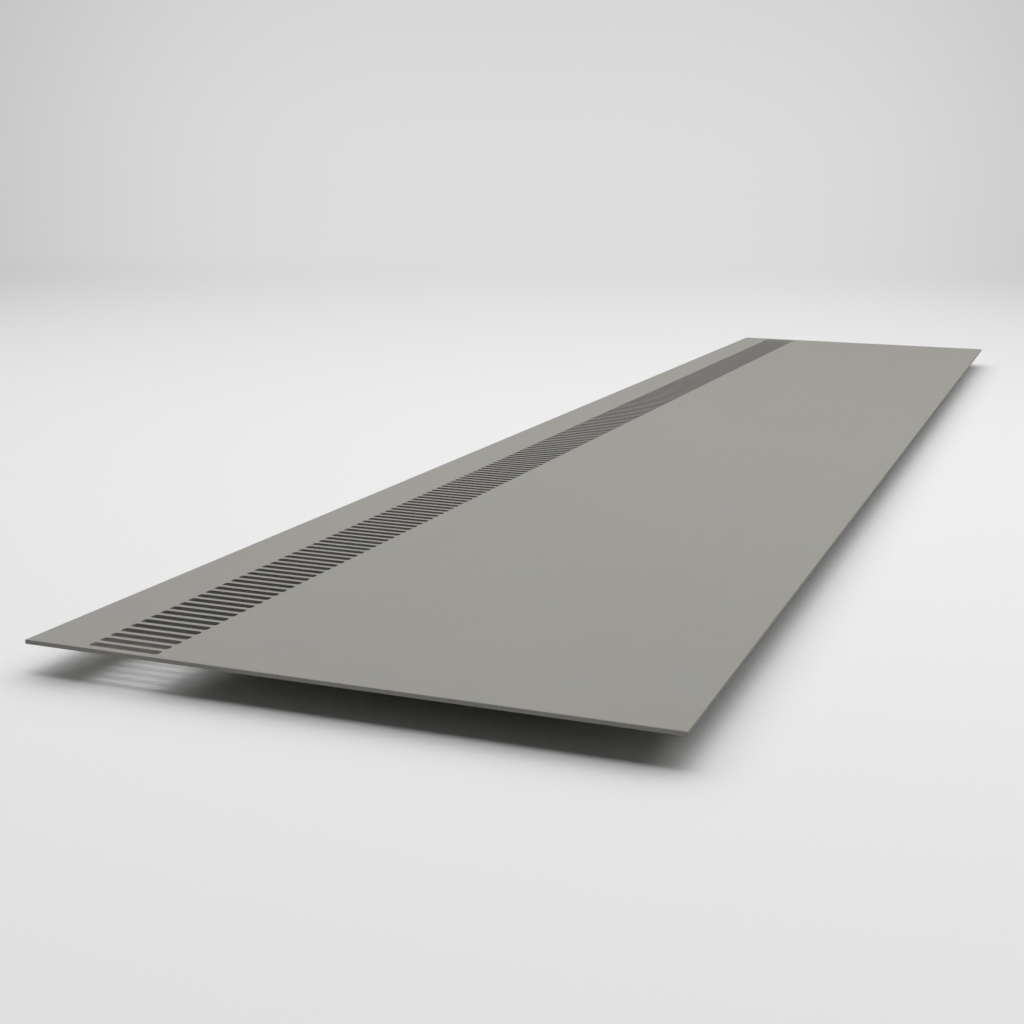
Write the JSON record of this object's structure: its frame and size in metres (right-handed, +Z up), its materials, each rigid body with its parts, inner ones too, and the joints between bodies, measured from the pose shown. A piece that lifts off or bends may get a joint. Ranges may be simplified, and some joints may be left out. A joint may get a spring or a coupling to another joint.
{
  "type": "vented soffit board",
  "caption": "Long thin flat grey board for lining the underside of eaves, with a strip of narrow crosswise vent slots running its whole length beside one long edge.",
  "frame": {"origin": "centre of the back face, which lies on z = 0", "axes": "+Y along the board's length, away from the end where the slots start; +X across the width, away from the slotted long edge; +Z up, out of the finished face"},
  "size_m": [0.6, 3, 0.004],
  "materials": {
    "fibre_cement": "matte"
  },
  "bodies": {
    "root": {"soffit_board": "fibre_cement"}
  },
  "joints": []
}
